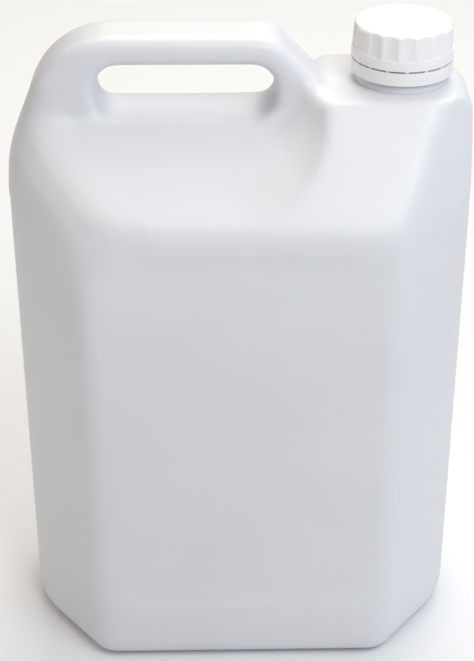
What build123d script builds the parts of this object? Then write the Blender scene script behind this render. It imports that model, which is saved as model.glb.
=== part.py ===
from build123d import *
import os
from math import atan2, cos, pi, radians, sin, tan

# Five litre oil bottle with a built-in handle and a screw cap, in millimetres.
# The origin is the middle of the base. +X points to the neck side, +Y to the back, +Z up.

# Bottle body
body_width = 197.6
body_depth = 129.5
corner_cut_x = 34.0
corner_cut_y = 42.0
front_corner_round = 13.0
side_corner_round = 45.0
base_round = 11.0
wall = 1.2

# Base: a shallow hollow inside a flat standing ring
base_ring = 20.0
base_hollow = 3.0

# Shoulder: the front and back faces lean in from the crease to a narrow shelf
crease_z = 220.0
crease_round = 18.0
crease_steps = 3
shelf_z = 263.7
shelf_depth = 56.0
shelf_cut_x = 15.5
shelf_end_round = 10.0
end_lean_z = 212.0
end_lean = 2.5

# Label panel on the front and back
panel_bottom_z = 35.0
panel_top_z = 210.6
panel_sink = 0.9
panel_edge = 1.4

# Handle blade, seen from the front
handle_top_z = 285.5
handle_thickness = 30.0
side_lean_z = 234.0
side_lean = 22.0
side_lean_round = 30.0
handle_left_round = 36.0
handle_right_x = 14.0
handle_right_slope = 46.0
handle_right_round = 14.0
valley_round = 4.0

# Finger slot through the handle
slot_left_x = -60.5
slot_right_x = 14.5
slot_bottom_z = 250.3
slot_top_z = 274.0
slot_corner = 10.0
slot_edge_round = 4.0

# Hand recess: a D-shaped hollow with sloping sides, in front of and behind the handle
recess_slope = 30.0
recess_bottom_z = 251.5
recess_right_x = 28.8
recess_corner = 22.0
recess_root_round = 7.0
recess_lip_point = (-27.0, -59.0, 226.0)
rim_round = 5.5
inner_rim_round = 4.0
lip_round = 2.5

# Neck
neck_x = 67.5
neck_radius = 17.2
bore_radius = 14.8
rim_z = 285.8
rim_edge_bevel = 0.5
collar_radius = 19.4
collar_top_z = 268.0
bead_radius = 19.2
bead_z = 270.0
bead_height = 2.5

# Screw thread of the neck and the cap
thread_pitch = 4.2
thread_root_width = 2.4
thread_crest_width = 1.2
thread_depth = 1.3
thread_sunk = 0.3
thread_start_z = 277.0
neck_thread_turns = 1.6
cap_thread_turns = 1.25
cap_thread_angle = 180.0
thread_gap = 0.4

# Screw cap
cap_radius = 21.0
cap_bottom_z = 274.2
cap_top_wall = 1.6
cap_top_bevel = 0.8
cap_draft = 3.0
band_radius = 21.3
band_top_z = 279.1
flute_count = 18
flute_radius = 12.0
flute_depth = 0.6
liner_thickness = 1.2
liner_gap = 0.5
cap_bore_radius = neck_radius + thread_depth + thread_gap
cap_ceiling_z = rim_z + liner_thickness
cap_top_z = cap_ceiling_z + cap_top_wall

# Tamper ring
ring_top_z = 273.4
ring_gap = 0.4
ring_lip_inner_radius = 18.0
ring_lip_height = 1.6
bridge_count = 16
bridge_width = 1.4
bridge_depth = 0.8

# Cutting shapes: how far they reach past the body, and how far below the crease the ridge is trimmed
reach = 10.0
corner_trim_drop = 2.0
ridge_side_y = 16.5


def plan_outline(depth, cut_x, inset):
    # Outline seen from above: a rectangle with its four corners cut off and softly rounded.
    share = cut_x / corner_cut_x
    half_w = body_width / 2
    half_d = depth / 2
    quarter = [(half_w - cut_x, half_d), (half_w, half_d - corner_cut_y * share)]
    points = quarter + [(x, -y) for x, y in reversed(quarter)]
    points += [(-x, -y) for x, y in quarter] + [(-x, y) for x, y in reversed(quarter)]
    outline = make_face(Polyline(points, close=True))
    by_side = outline.vertices().group_by(lambda vertex: abs(round(vertex.X, 3)))
    outline = fillet(by_side[-1], side_corner_round * share)
    by_front = outline.vertices().group_by(lambda vertex: abs(round(vertex.Y, 3)))
    outline = fillet(by_front[-1], front_corner_round)
    return offset(outline, amount=-inset) if inset else outline


def shoulder_stations():
    # Heights and half depths of the shoulder's sections: the crease arc, then the shelf.
    half_d = body_depth / 2
    half_s = shelf_depth / 2
    lean = atan2(half_d - half_s, shelf_z - crease_z)
    crease_run = crease_round * tan(lean / 2)
    stations = []
    for step in range(crease_steps + 1):
        a = lean * step / crease_steps
        z = crease_z - crease_run + crease_round * sin(a)
        stations.append((z, half_d - crease_round * (1 - cos(a))))
    return stations + [(shelf_z, half_s)]


def block(inset):
    # The bottle without its handle: straight walls, then the sloping shoulder up to the shelf.
    half_d = body_depth / 2
    half_s = shelf_depth / 2
    stations = shoulder_stations()
    base = plan_outline(body_depth, corner_cut_x, inset)
    straight = extrude(Pos(0, 0, inset) * base, stations[0][0] - inset)
    bottom = straight.faces().sort_by(Axis.Z)[0]
    straight = fillet(bottom.edges(), base_round - inset)
    sections = []
    for z, half in stations:
        share = (half_d - half) / (half_d - half_s)
        cut = corner_cut_x + (shelf_cut_x - corner_cut_x) * share
        sections.append(Pos(0, 0, z) * plan_outline(2 * half, cut, inset))
    return straight + loft(sections, ruled=True)


def at_y(sketch, y):
    # Stands a sketch drawn as (x, z) upright in the plane at the given y.
    return Plane(origin=(0, y, 0), x_dir=(1, 0, 0), z_dir=(0, -1, 0)) * sketch


def above_outline(inset):
    # Everything above the front outline of the bottle, drawn as (x, z).
    half_w = body_width / 2
    far = half_w + 3 * reach
    top = handle_top_z + 4 * reach
    lean = radians(side_lean)
    slope = radians(handle_right_slope)
    run = side_lean_round * tan(lean / 2)
    side = JernArc((-half_w, side_lean_z - run), (0, 1), side_lean_round, -side_lean)
    left_x = -half_w + (handle_top_z - side_lean_z) * tan(lean)
    run = handle_left_round * tan((pi / 2 - lean) / 2)
    turn_in = (left_x - run * sin(lean), handle_top_z - run * cos(lean))
    side_line = Line(side @ 1, turn_in)
    shoulder = JernArc(turn_in, (sin(lean), cos(lean)), handle_left_round, side_lean - 90)
    run = handle_right_round * tan(slope / 2)
    top_line = Line(shoulder @ 1, (handle_right_x - run, handle_top_z))
    fall = JernArc(top_line @ 1, (1, 0), handle_right_round, -handle_right_slope)
    valley_x = handle_right_x + (handle_top_z - shelf_z) / tan(slope)
    run = valley_round * tan(slope / 2)
    slope_line = Line(fall @ 1, (valley_x - run * cos(slope), shelf_z + run * sin(slope)))
    down = (cos(slope), -sin(slope))
    valley = JernArc(slope_line @ 1, down, valley_round, handle_right_slope)
    lean_in = radians(end_lean)
    run = shelf_end_round * tan((pi / 2 - lean_in) / 2)
    shelf_end_x = half_w - (shelf_z - end_lean_z) * tan(lean_in) - run
    shelf_line = Line(valley @ 1, (shelf_end_x, shelf_z))
    end = JernArc(shelf_line @ 1, (1, 0), shelf_end_round, end_lean - 90)
    low_left_z = side_lean_z - side_lean_round * tan(lean / 2)
    outside = [end @ 1, (half_w, end_lean_z), (far, end_lean_z), (far, top), (-far, top),
               (-far, low_left_z), (-half_w, low_left_z)]
    upper = [side, side_line, shoulder, top_line, fall, slope_line, valley, shelf_line, end]
    region = make_face(upper + [Polyline(outside)])
    return offset(region, amount=inset) if inset else region


def recess_outline(grow):
    # The D outline of the hand recess, open to the left and to the top.
    left = -body_width
    top = handle_top_z + body_depth
    corners = [(left, recess_bottom_z), (recess_right_x, recess_bottom_z), (recess_right_x, top), (left, top)]
    outline = make_face(Polyline(corners, close=True))
    low_corner = outline.vertices().sort_by_distance((recess_right_x, recess_bottom_z, 0))[0]
    outline = fillet(low_corner, recess_corner)
    return offset(outline, amount=grow) if grow else outline


def recess_tool(inset):
    # The hollow in front of the handle, widening to the front, with a rounded inner edge.
    half_t = handle_thickness / 2 - inset
    out = body_depth / 2 + reach
    grow = (out - half_t) * tan(radians(recess_slope))
    near = at_y(recess_outline(inset), -half_t)
    wide = at_y(recess_outline(inset + grow), -out)
    tool = loft([near, wide], ruled=True)
    flat = tool.faces().sort_by(Axis.Y)[-1]
    kept = flat.edges().sort_by_distance((recess_right_x, -half_t, recess_bottom_z))[:3]
    return fillet(kept, recess_root_round + inset)


def slot_tool(inset):
    # The finger slot, cut straight through from front to back.
    corners = [(slot_left_x, slot_bottom_z), (slot_right_x, slot_bottom_z),
               (slot_right_x, slot_top_z), (slot_left_x, slot_top_z)]
    outline = make_face(Polyline(corners, close=True))
    outline = fillet(outline.vertices(), slot_corner)
    outline = offset(outline, amount=inset) if inset else outline
    return extrude(at_y(outline, 0), body_depth, both=True)


def panel_tool(inset):
    # The layer taken off the front to sink the label panel, with sloping ends.
    face_y = -body_depth / 2 + inset
    sunk_y = face_y + panel_sink
    out_y = face_y - panel_sink
    run = 2 * panel_edge
    section = [(sunk_y, panel_bottom_z), (sunk_y, panel_top_z),
               (out_y, panel_top_z + run), (out_y, panel_bottom_z - run)]
    profile = make_face(Polyline(section, close=True))
    return extrude(Plane.YZ * profile, body_width / 2, both=True)


def base_tool(inset):
    # The shallow hollow of the base, inside the standing ring.
    low = plan_outline(body_depth, corner_cut_x, base_ring - inset)
    high = plan_outline(body_depth, corner_cut_x, base_ring + base_hollow - inset)
    return loft([low, Pos(0, 0, base_hollow + inset) * high], ruled=True)


def past_corners(inset):
    # What the upright ridge has outside the cut corners of the block, at both ends of the front.
    low = crease_z - corner_trim_drop
    height = shelf_z - crease_z + reach
    size = (4 * reach, body_depth / 2, height)
    align = (Align.CENTER, Align.MAX, Align.MIN)
    left = Pos(-body_width / 2, -ridge_side_y, low) * Box(*size, align=align)
    right = Pos(body_width / 2, -reach, low) * Box(*size, align=align)
    return left + right - block(inset)


def shell_form(inset, rim_radius):
    # The closed form of the body: the outside with inset 0, the inside with the wall as inset.
    ridge = Box(body_width - 2 * inset, shelf_depth - 2 * inset, handle_top_z - crease_z + reach,
                align=(Align.CENTER, Align.CENTER, Align.MIN))
    form = block(inset) + Pos(0, 0, crease_z) * ridge
    form -= extrude(at_y(above_outline(inset), 0), body_depth, both=True)
    form -= recess_tool(inset)
    rim = form.edges().sort_by_distance((recess_right_x, -shelf_depth / 2, shelf_z))[0]
    form = fillet(rim, rim_radius)
    lip = form.edges().sort_by_distance(recess_lip_point)[0]
    form = fillet(lip, lip_round)
    back_half = Box(2 * body_width, body_depth, 3 * handle_top_z, align=(Align.CENTER, Align.MIN, Align.CENTER))
    form -= back_half
    form -= past_corners(inset)
    slotted = form - slot_tool(inset)
    slot_edges = new_edges(form, slot_tool(inset), combined=slotted)
    front_loop = slot_edges.filter_by(lambda edge: edge.center().Y < -slot_edge_round)
    front = fillet(front_loop, slot_edge_round - inset) - panel_tool(inset)
    whole = front + mirror(front, Plane.XZ)
    return whole - base_tool(inset)


def turned(points):
    # A solid turned about the neck's axis from a half section drawn as (radius, z).
    section = make_face(Polyline(points, close=True))
    return Pos(neck_x, 0, 0) * revolve(Plane.XZ * section, Axis.Z)


def thread(root_radius, side, turns, start_angle):
    # A screw thread rising from a wall: side 1 stands outward, side -1 inward.
    path = Helix(thread_pitch, thread_pitch * turns, root_radius)
    foot = root_radius - side * thread_sunk
    crest = root_radius + side * thread_depth
    half_root = thread_root_width / 2
    half_crest = thread_crest_width / 2
    section = [(foot, -half_root), (crest, -half_crest), (crest, half_crest), (foot, half_root)]
    profile = Plane.XZ * make_face(Polyline(section, close=True))
    return Pos(neck_x, 0, thread_start_z) * Rot(0, 0, start_angle) * sweep(profile, path, is_frenet=True)


def neck():
    # The neck with its collar, the bead that holds the tamper ring, and the thread.
    foot_z = shelf_z - wall / 2
    bead_top = bead_z + bead_height
    section = [(0, foot_z), (collar_radius, foot_z), (collar_radius, collar_top_z),
               (neck_radius, collar_top_z), (neck_radius, bead_z), (bead_radius, bead_z),
               (bead_radius, (bead_z + bead_top) / 2), (neck_radius, bead_top),
               (neck_radius, rim_z - rim_edge_bevel), (neck_radius - rim_edge_bevel, rim_z), (0, rim_z)]
    tube = turned(section)
    return tube + thread(neck_radius, 1, neck_thread_turns, 0)


def bottle_body():
    # The whole hollow moulding: outside and neck, less the inside and the neck's bore.
    outside = shell_form(0, rim_round) + neck()
    inside = shell_form(wall, inner_rim_round)
    bore_height = rim_z - shelf_z + reach
    bore = Pos(neck_x, 0, rim_z) * Cylinder(bore_radius, 2 * bore_height)
    return outside - inside - bore


def screw_cap():
    # The cap: smooth band, fluted skirt with a slight draft, flat top and an inner thread.
    top_radius = cap_radius - (cap_top_z - band_top_z) * tan(radians(cap_draft))
    section = [(cap_bore_radius, cap_bottom_z), (band_radius, cap_bottom_z), (band_radius, band_top_z),
               (cap_radius, band_top_z), (top_radius, cap_top_z - cap_top_bevel),
               (top_radius - cap_top_bevel, cap_top_z), (0, cap_top_z),
               (0, cap_ceiling_z), (cap_bore_radius, cap_ceiling_z)]
    cap = turned(section)
    length = cap_top_z - band_top_z + reach
    flute = Cylinder(flute_radius, length, align=(Align.CENTER, Align.CENTER, Align.MIN))
    flute = Pos(cap_radius - flute_depth + flute_radius, 0, 0) * Rot(0, -cap_draft, 0) * flute
    for index in range(flute_count):
        cap -= Pos(neck_x, 0, band_top_z) * Rot(0, 0, (index + 0.5) * 360 / flute_count) * flute
    return cap + thread(cap_bore_radius, -1, cap_thread_turns, cap_thread_angle)


def tamper_ring():
    # The band left on the neck, with a lip under the bead and small bridges up to the cap.
    inner = bead_radius + ring_gap
    lip_top = collar_top_z + ring_lip_height
    ring = turned([(ring_lip_inner_radius, collar_top_z), (band_radius, collar_top_z),
                   (band_radius, ring_top_z), (inner, ring_top_z), (inner, lip_top),
                   (ring_lip_inner_radius, lip_top)])
    height = cap_bottom_z - ring_top_z
    middle = (inner + band_radius) / 2
    overlap = bridge_depth / 2
    bridge = Box(bridge_depth, bridge_width, height + overlap, align=(Align.CENTER, Align.CENTER, Align.MAX))
    for index in range(bridge_count):
        turn = Rot(0, 0, index * 360 / bridge_count)
        ring += Pos(neck_x, 0, cap_bottom_z) * turn * Pos(middle, 0, 0) * bridge
    return ring


def cap_liner():
    # The sealing disc between the rim of the neck and the ceiling of the cap.
    radius = cap_bore_radius - liner_gap
    disc = Cylinder(radius, liner_thickness, align=(Align.CENTER, Align.CENTER, Align.MIN))
    return Pos(neck_x, 0, rim_z) * disc


os.makedirs("parts", exist_ok=True)
nodes = {
    "bottle_body": bottle_body(),
    "screw_cap": screw_cap(),
    "tamper_ring": tamper_ring(),
    "cap_liner": cap_liner(),
}
for name, solid in nodes.items():
    export_step(solid, f"parts/{name}.step")
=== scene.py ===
import math

import bmesh
import bpy
from mathutils import Matrix, Vector
from mathutils.geometry import intersect_point_line


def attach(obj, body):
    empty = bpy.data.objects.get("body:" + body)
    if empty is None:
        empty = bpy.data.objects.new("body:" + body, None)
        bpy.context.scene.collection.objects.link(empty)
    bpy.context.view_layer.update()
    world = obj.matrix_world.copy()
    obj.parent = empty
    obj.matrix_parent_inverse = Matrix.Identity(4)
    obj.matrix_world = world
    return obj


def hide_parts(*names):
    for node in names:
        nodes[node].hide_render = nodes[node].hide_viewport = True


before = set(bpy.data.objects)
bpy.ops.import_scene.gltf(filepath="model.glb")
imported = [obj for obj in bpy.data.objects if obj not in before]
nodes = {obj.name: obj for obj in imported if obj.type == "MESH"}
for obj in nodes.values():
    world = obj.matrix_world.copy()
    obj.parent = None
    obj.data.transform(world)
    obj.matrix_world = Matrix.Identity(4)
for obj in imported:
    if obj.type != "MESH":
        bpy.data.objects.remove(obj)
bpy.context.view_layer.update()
MM = 0.001

# The photograph's frame in pixels, and the camera that was fitted to the bottle's edges in it
PHOTO_WIDTH = 474
PHOTO_HEIGHT = 661
FOCAL_PX = 1614.89
CENTRE_X_PX = 258.77
CENTRE_Y_PX = 328.37
CAMERA_PLACE = Vector((-9.53, -635.81, 518.24)) * MM
CAMERA_PITCH = math.radians(30.63)
CAMERA_YAW = math.radians(1.61)
CAMERA_ROLL = math.radians(0.35)
SENSOR = 36.0
CLIP_NEAR = 10.0 * MM

# Neck of the bottle: what stands above its foot within reach of its axis
NECK_X = 67.5 * MM
NECK_REACH = 19.8 * MM
NECK_FOOT_Z = 263.2 * MM

# Splitting the moulding into its outside and the rest: points closer than the weld are joined,
# and a face is known by its middle, rounded to these digits
WELD = 0.002 * MM
MIDDLE_DIGITS = 7
QUAD_CORNERS = 4

# Softened outside of the bottle
VOXEL = 1.55 * MM
SOFT_STEPS = 9
SMOOTH_SHARE = 0.5
SHARP_ANGLE = math.radians(32)

# Edges of the moulding that are rounder than in the frame: the front corners and the cut corners
# beside the hand recess. Each runs from one point to another, in front and mirrored behind.
FRONT_CORNER_X = 64.8 * MM
FRONT_Y = -64.7 * MM
CREASE_Z = 222.0 * MM
RECESS_END = Vector((-94.0, -24.0, 244.0)) * MM
CORNER_FOOT_Z = 24.0 * MM
CORNER_REACH = 18.0 * MM
CORNER_STEPS = 7
RECESS_REACH = 26.0 * MM
RECESS_STEPS = 50
SOFT_RINGS = 5

# Moulded plastic: a drift of tone, an uneven gloss, a fine mould texture and waves in the wall
DRIFT_SCALE = 9.0
DRIFT_DETAIL = 3.0
DRIFT_DARK_END = 0.35
DRIFT_LIGHT_END = 0.65
GLOSS_SCALE = 140.0
GLOSS_DETAIL = 4.0
ROUGHNESS_BELOW = 0.05
ROUGHNESS_ABOVE = 0.07
PEEL_DETAIL = 2.0
PEEL_STRENGTH = 0.5
WAVE_SCALE = 22.0
WAVE_DETAIL = 1.0
WAVE_STRENGTH = 0.6
PLASTIC_IOR = 1.54
SCATTER_RADIUS = (1.0, 0.85, 0.75)
SCATTER_SCALE = 3.0 * MM

# Room: its tones from level with the floor to overhead, and from the left to the right
LEVEL = 0.0
OVERHEAD = 0.9
LEVEL_TONE = (0.15, 0.185, 0.27)
OVERHEAD_TONE = (1.0, 0.97, 0.89)
FAR_LEFT = -0.9
RIGHT = 0.6
LEFT_TONE = (0.68, 0.57, 0.46)
RIGHT_TONE = (0.96, 1.0, 1.06)
ROOM_STRENGTH = 1.1

# Floor
FLOOR_SIZE = 6.0
FLOOR_PARTS = 8
FLOOR_TONE = (0.82, 0.835, 0.86)
FLOOR_ROUGHNESS = 0.9
FLOOR_SPECULAR = 0.1


def place_camera():
    """Puts the camera where the photograph was taken from."""
    cos_p, sin_p = math.cos(CAMERA_PITCH), math.sin(CAMERA_PITCH)
    cos_y, sin_y = math.cos(CAMERA_YAW), math.sin(CAMERA_YAW)
    ahead = Vector((sin_y * cos_p, cos_y * cos_p, -sin_p))
    level = Vector((cos_y, -sin_y, 0.0))
    above = level.cross(ahead)
    cos_r, sin_r = math.cos(CAMERA_ROLL), math.sin(CAMERA_ROLL)
    right = cos_r * level + sin_r * above
    up = cos_r * above - sin_r * level
    turn = Matrix((right, up, -ahead)).transposed()
    data = bpy.data.cameras.new("photo_camera")
    data.sensor_width = SENSOR
    data.lens = FOCAL_PX / PHOTO_HEIGHT * SENSOR
    data.shift_x = (PHOTO_WIDTH / 2 - CENTRE_X_PX) / PHOTO_HEIGHT
    data.shift_y = (CENTRE_Y_PX - PHOTO_HEIGHT / 2) / PHOTO_HEIGHT
    data.clip_start = CLIP_NEAR
    camera = bpy.data.objects.new("photo_camera", data)
    camera.matrix_world = Matrix.Translation(CAMERA_PLACE) @ turn.to_4x4()
    bpy.context.scene.collection.objects.link(camera)
    bpy.context.scene.camera = camera


def mesh_object(name, mesh):
    """A new object in the scene for a mesh."""
    piece = bpy.data.objects.new(name, mesh)
    bpy.context.scene.collection.objects.link(piece)
    return piece


def finished_mesh(name, bm):
    """A new mesh with what was built in bm, which is freed."""
    mesh = bpy.data.meshes.new(name)
    bm.to_mesh(mesh)
    bm.free()
    return mesh


def near_neck(vert):
    """True for a point of the neck that stands on the shelf."""
    reach = math.hypot(vert.co.x - NECK_X, vert.co.y)
    return reach < NECK_REACH and vert.co.z > NECK_FOOT_Z


def connected_faces(start):
    """The faces that can be reached from a face over shared edges."""
    found = {start}
    waiting = [start]
    while waiting:
        face = waiting.pop()
        for edge in face.edges:
            for other in edge.link_faces:
                if other not in found:
                    found.add(other)
                    waiting.append(other)
    return found


def rounded_middle(face):
    """The middle of a face, rounded so that it can be looked up."""
    return tuple(round(c, MIDDLE_DIGITS) for c in face.calc_center_median())


def split_moulding():
    """The bottle's solid as two meshes: the outside without the neck, with its hole closed, and
    the neck with the inside."""
    skin = bmesh.new()
    skin.from_mesh(nodes["bottle_body"].data)
    bmesh.ops.remove_doubles(skin, verts=skin.verts, dist=WELD)
    neck = [f for f in skin.faces if all(near_neck(v) for v in f.verts)]
    rest = skin.copy()
    bmesh.ops.delete(skin, geom=neck, context="FACES")
    widest = max(skin.faces, key=lambda f: f.calc_center_median().x)
    outside = connected_faces(widest)
    inner = [f for f in skin.faces if f not in outside]
    outside_middles = {rounded_middle(f) for f in outside}
    bmesh.ops.delete(skin, geom=inner, context="FACES")
    bmesh.ops.holes_fill(skin, edges=[e for e in skin.edges if e.is_boundary], sides=0)
    bmesh.ops.triangulate(skin, faces=[f for f in skin.faces if len(f.verts) > QUAD_CORNERS])
    skin_mesh = finished_mesh("bottle_skin", skin)
    drop = [f for f in rest.faces if rounded_middle(f) in outside_middles]
    bmesh.ops.delete(rest, geom=drop, context="FACES")
    return skin_mesh, finished_mesh("bottle_neck_and_inside", rest)


def softened(mesh):
    """An even, smoothed copy of a closed mesh."""
    skin = mesh_object("bottle_skin", mesh)
    remesh = skin.modifiers.new("even", "REMESH")
    remesh.mode = "VOXEL"
    remesh.voxel_size = VOXEL
    smooth = skin.modifiers.new("soft", "SMOOTH")
    smooth.factor = SMOOTH_SHARE
    smooth.iterations = SOFT_STEPS
    depsgraph = bpy.context.evaluated_depsgraph_get()
    soft = bpy.data.meshes.new_from_object(skin.evaluated_get(depsgraph))
    bpy.data.objects.remove(skin)
    return soft


def round_over(bm, start, end, reach, steps):
    """Smooths the points near an edge that runs from one point to another, in front and behind,
    most where they are closest to it."""
    gaps = {}
    for vert in bm.verts:
        place = Vector((vert.co.x, -abs(vert.co.y), vert.co.z))
        _, share = intersect_point_line(place, start, end)
        foot = start.lerp(end, min(max(share, 0.0), 1.0))
        gap = (place - foot).length
        if gap < reach:
            gaps[vert] = gap
    for ring in range(SOFT_RINGS):
        ring_reach = reach * (1 - ring / SOFT_RINGS)
        near = [vert for vert, gap in gaps.items() if gap < ring_reach]
        for _ in range(steps):
            bmesh.ops.smooth_vert(
                bm,
                verts=near,
                factor=SMOOTH_SHARE,
                use_axis_x=True,
                use_axis_y=True,
                use_axis_z=True,
            )


def soft_bottle():
    """The bottle with its moulded edges softened: the outside is remeshed and smoothed, and
    the neck and the inside stay as they are in the frame."""
    skin_mesh, crisp_mesh = split_moulding()
    whole = bmesh.new()
    whole.from_mesh(softened(skin_mesh))
    for side in (-1, 1):
        foot = Vector((side * FRONT_CORNER_X, FRONT_Y, CORNER_FOOT_Z))
        crease = Vector((side * FRONT_CORNER_X, FRONT_Y, CREASE_Z))
        round_over(whole, foot, crease, CORNER_REACH, CORNER_STEPS)
    left_crease = Vector((-FRONT_CORNER_X, FRONT_Y, CREASE_Z))
    round_over(whole, left_crease, RECESS_END, RECESS_REACH, RECESS_STEPS)
    whole.from_mesh(crisp_mesh)
    for face in whole.faces:
        face.smooth = True
    mesh = finished_mesh("bottle_moulding", whole)
    mesh.set_sharp_from_angle(angle=SHARP_ANGLE)
    piece = mesh_object("bottle_moulding", mesh)
    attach(piece, "bottle")
    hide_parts("bottle_body")
    return piece


def noise(tree, place, scale, detail):
    """A noise value that follows a place."""
    texture = tree.nodes.new("ShaderNodeTexNoise")
    texture.inputs["Scale"].default_value = scale
    texture.inputs["Detail"].default_value = detail
    tree.links.new(place, texture.inputs["Vector"])
    return texture.outputs["Fac"]


def bump(tree, height, strength, distance):
    """A node that bends the surface's normal by a height."""
    node = tree.nodes.new("ShaderNodeBump")
    node.inputs["Strength"].default_value = strength
    node.inputs["Distance"].default_value = distance
    tree.links.new(height, node.inputs["Height"])
    return node


def plastic(name, light, dark, roughness, scatter, peel_size, peel_depth, wave_depth):
    """Moulded plastic: a faint drift of tone, a fine mould texture and gentle waves in the wall."""
    material = bpy.data.materials.new(name)
    material.use_nodes = True
    tree = material.node_tree
    shader = tree.nodes["Principled BSDF"]
    place = tree.nodes.new("ShaderNodeTexCoord").outputs["Object"]

    tone = tree.nodes.new("ShaderNodeValToRGB")
    dark_end, light_end = tone.color_ramp.elements
    dark_end.position = DRIFT_DARK_END
    dark_end.color = (*dark, 1)
    light_end.position = DRIFT_LIGHT_END
    light_end.color = (*light, 1)
    tree.links.new(noise(tree, place, DRIFT_SCALE, DRIFT_DETAIL), tone.inputs["Fac"])
    tree.links.new(tone.outputs["Color"], shader.inputs["Base Color"])

    spread = tree.nodes.new("ShaderNodeMapRange")
    spread.inputs["To Min"].default_value = roughness - ROUGHNESS_BELOW
    spread.inputs["To Max"].default_value = roughness + ROUGHNESS_ABOVE
    tree.links.new(noise(tree, place, GLOSS_SCALE, GLOSS_DETAIL), spread.inputs["Value"])
    tree.links.new(spread.outputs["Result"], shader.inputs["Roughness"])

    peel = noise(tree, place, 1.0 / peel_size, PEEL_DETAIL)
    wave = noise(tree, place, WAVE_SCALE, WAVE_DETAIL)
    fine = bump(tree, peel, PEEL_STRENGTH, peel_depth)
    broad = bump(tree, wave, WAVE_STRENGTH, wave_depth)
    tree.links.new(broad.outputs["Normal"], fine.inputs["Normal"])
    tree.links.new(fine.outputs["Normal"], shader.inputs["Normal"])

    shader.inputs["IOR"].default_value = PLASTIC_IOR
    shader.inputs["Subsurface Weight"].default_value = scatter
    shader.inputs["Subsurface Radius"].default_value = SCATTER_RADIUS
    shader.inputs["Subsurface Scale"].default_value = SCATTER_SCALE
    return material


def dress(piece, material):
    """Gives an object one material."""
    piece.data.materials.clear()
    piece.data.materials.append(material)


def area_light(name, place, aim, size, power, colour):
    """A soft square light at a place, turned to a point."""
    data = bpy.data.lights.new(name, "AREA")
    data.shape = "SQUARE"
    data.size = size
    data.energy = power
    data.color = colour
    light = bpy.data.objects.new(name, data)
    light.location = place
    light.rotation_euler = (Vector(aim) - Vector(place)).to_track_quat("-Z", "Y").to_euler()
    bpy.context.scene.collection.objects.link(light)


def ramp(tree, source, low, high, low_colour, high_colour):
    """A colour that goes from one tone to another while a value goes from low to high."""
    colours = tree.nodes.new("ShaderNodeValToRGB")
    low_end, high_end = colours.color_ramp.elements
    low_end.color = (*low_colour, 1)
    high_end.color = (*high_colour, 1)
    spread = tree.nodes.new("ShaderNodeMapRange")
    spread.inputs["From Min"].default_value = low
    spread.inputs["From Max"].default_value = high
    tree.links.new(source, spread.inputs["Value"])
    tree.links.new(spread.outputs["Result"], colours.inputs["Fac"])
    return colours.outputs["Color"]


def socket(sockets, identifier):
    """One of a node's sockets by its identifier, where several have the same name."""
    return next(s for s in sockets if s.identifier == identifier)


def surround():
    """A plain room: bright and warm above, dim and bluish level with the floor, and dimmer and
    warmer on the left than on the right."""
    world = bpy.data.worlds.new("surround")
    world.use_nodes = True
    tree = world.node_tree
    place = tree.nodes.new("ShaderNodeTexCoord")
    parts = tree.nodes.new("ShaderNodeSeparateXYZ")
    tree.links.new(place.outputs["Generated"], parts.inputs["Vector"])
    upward = ramp(tree, parts.outputs["Z"], LEVEL, OVERHEAD, LEVEL_TONE, OVERHEAD_TONE)
    sideways = ramp(tree, parts.outputs["X"], FAR_LEFT, RIGHT, LEFT_TONE, RIGHT_TONE)
    both = tree.nodes.new("ShaderNodeMix")
    both.data_type = "RGBA"
    both.blend_type = "MULTIPLY"
    socket(both.inputs, "Factor_Float").default_value = 1.0
    tree.links.new(upward, socket(both.inputs, "A_Color"))
    tree.links.new(sideways, socket(both.inputs, "B_Color"))
    sky = tree.nodes["Background"]
    tree.links.new(socket(both.outputs, "Result_Color"), sky.inputs["Color"])
    sky.inputs["Strength"].default_value = ROOM_STRENGTH
    bpy.context.scene.world = world


def lay_floor():
    """A plain pale floor."""
    bm = bmesh.new()
    bmesh.ops.create_grid(bm, x_segments=FLOOR_PARTS, y_segments=FLOOR_PARTS, size=FLOOR_SIZE)
    floor = mesh_object("floor", finished_mesh("floor", bm))
    paint = bpy.data.materials.new("floor_paint")
    paint.use_nodes = True
    shader = paint.node_tree.nodes["Principled BSDF"]
    shader.inputs["Base Color"].default_value = (*FLOOR_TONE, 1)
    shader.inputs["Roughness"].default_value = FLOOR_ROUGHNESS
    shader.inputs["Specular IOR Level"].default_value = FLOOR_SPECULAR
    dress(floor, paint)


def studio():
    """The floor, the room, a light from the front right and a larger one from behind and above."""
    lay_floor()
    surround()
    area_light(
        "key",
        place=(0.26, -0.46, 0.74),
        aim=(0.0, 0.0, 0.25),
        size=0.4,
        power=2.5,
        colour=(0.92, 0.96, 1.0),
    )
    area_light(
        "top",
        place=(0.15, 0.75, 1.15),
        aim=(0.0, 0.0, 0.2),
        size=0.9,
        power=7.2,
        colour=(1.0, 0.965, 0.88),
    )
    bpy.context.scene.view_settings.view_transform = "Standard"


place_camera()
bottle = soft_bottle()
bottle_plastic = plastic(
    "bottle_plastic",
    light=(0.725, 0.742, 0.775),
    dark=(0.69, 0.707, 0.742),
    roughness=0.42,
    scatter=0.35,
    peel_size=1.1 * MM,
    peel_depth=0.03 * MM,
    wave_depth=0.6 * MM,
)
cap_plastic = plastic(
    "cap_plastic",
    light=(0.85, 0.85, 0.86),
    dark=(0.82, 0.82, 0.83),
    roughness=0.34,
    scatter=0.25,
    peel_size=0.9 * MM,
    peel_depth=0.02 * MM,
    wave_depth=0.0,
)
liner_foam = plastic(
    "liner_foam",
    light=(0.84, 0.84, 0.82),
    dark=(0.78, 0.78, 0.76),
    roughness=0.6,
    scatter=0.2,
    peel_size=0.6 * MM,
    peel_depth=0.08 * MM,
    wave_depth=0.0,
)
dress(bottle, bottle_plastic)
dress(nodes["screw_cap"], cap_plastic)
dress(nodes["tamper_ring"], cap_plastic)
dress(nodes["cap_liner"], liner_foam)
studio()
